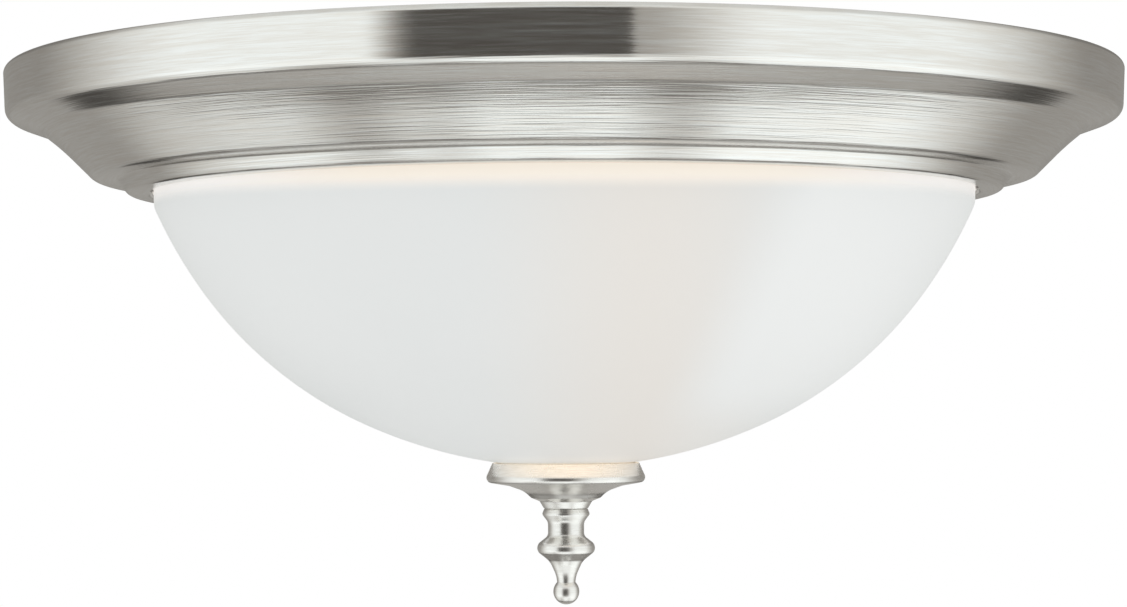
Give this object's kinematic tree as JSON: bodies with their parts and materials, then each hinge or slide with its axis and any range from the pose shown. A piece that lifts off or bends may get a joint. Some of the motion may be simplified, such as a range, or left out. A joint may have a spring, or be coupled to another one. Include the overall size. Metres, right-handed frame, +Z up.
{
  "type": "flush mount ceiling light",
  "caption": "Round ceiling light: a satin nickel pan with a sloping rim holds an opal glass bowl, which a cap and a turned finial clamp on a centre rod.",
  "frame": {"origin": "centre of the mounting bar's top face, on the rod's axis and in the ceiling plane", "axes": "+Z up into the ceiling, +X along the mounting bar and the lamps, -Y towards the viewer"},
  "size_m": [0.3298, 0.3298, 0.1581],
  "materials": {
    "satin_nickel": "satin nickel plate, brushed round the rim",
    "polished_nickel": "nickel plate, turned and lightly polished",
    "white_enamel": "gloss white enamel",
    "zinc_steel": "bright zinc plate",
    "rod_steel": "zinc plate, threaded",
    "green_steel": "green passivated zinc",
    "porcelain": "unglazed white porcelain",
    "brass": "pressed brass",
    "lamp_metal": "rolled aluminium",
    "solder": "dull solder",
    "dark_glass": "black glass",
    "frosted_glass": "inside-frosted glass, lit",
    "opal_glass": "satin opal white glass",
    "soft_rubber": "pale translucent rubber",
    "nylon": "natural nylon",
    "connector_plastic": "orange moulded plastic",
    "lead_white": "white insulation",
    "lead_black": "black insulation",
    "lead_green": "green insulation",
    "glass_wool": "pressed glass wool"
  },
  "bodies": {
    "fixture": {"decorative_pan": "satin_nickel", "holder_plate": "white_enamel", "mounting_bar": "zinc_steel", "mounting_screws": "zinc_steel", "ground_screws": "green_steel", "centre_rod": "rod_steel", "rod_nuts": "zinc_steel", "rod_washer": "zinc_steel", "lock_washer": "zinc_steel", "lamp_holder_left": "porcelain", "screw_shell_left": "brass", "centre_contact_left": "brass", "holder_bracket_left": "zinc_steel", "lamp_holder_right": "porcelain", "screw_shell_right": "brass", "centre_contact_right": "brass", "holder_bracket_right": "zinc_steel", "bracket_rivets": "zinc_steel", "holder_screws": "zinc_steel", "wire_bushings": "nylon", "wire_connectors": "connector_plastic", "lead_left_white": "lead_white", "lead_left_black": "lead_black", "lead_right_white": "lead_white", "lead_right_black": "lead_black", "ground_lead": "lead_green", "insulation_pad": "glass_wool", "rim_gasket": "soft_rubber"},
    "bowl": {"glass_bowl": "opal_glass", "bowl_grommet": "soft_rubber"},
    "cap": {"bowl_cap": "polished_nickel"},
    "finial": {"finial": "polished_nickel"},
    "lamp_left": {"lamp_bulb_left": "frosted_glass", "lamp_base_left": "lamp_metal", "lamp_insulator_left": "dark_glass", "lamp_contact_left": "solder"},
    "lamp_right": {"lamp_bulb_right": "frosted_glass", "lamp_base_right": "lamp_metal", "lamp_insulator_right": "dark_glass", "lamp_contact_right": "solder"}
  },
  "joints": [
    {"name": "bowl_lower", "type": "slide", "parent": "fixture", "child": "bowl", "axis": [0, 0, -1], "range_m": [0, 0.13]},
    {"name": "cap_lower", "type": "slide", "parent": "bowl", "child": "cap", "axis": [0, 0, -1], "range_m": [0, 0.0075]},
    {"name": "finial_turn", "type": "hinge", "parent": "cap", "child": "finial", "pos_m": [0, 0, -0.13], "axis": [0, 0, -1], "range_deg": [0, 2880]},
    {"name": "lamp_left_out", "type": "slide", "parent": "fixture", "child": "lamp_left", "axis": [1, 0, 0], "range_m": [0, 0.027]},
    {"name": "lamp_right_out", "type": "slide", "parent": "fixture", "child": "lamp_right", "axis": [-1, 0, 0], "range_m": [0, 0.027]}
  ],
  "couplings": [
    {"joint": "finial_turn", "follows": "cap_lower", "rad_per_m": 6679}
  ]
}
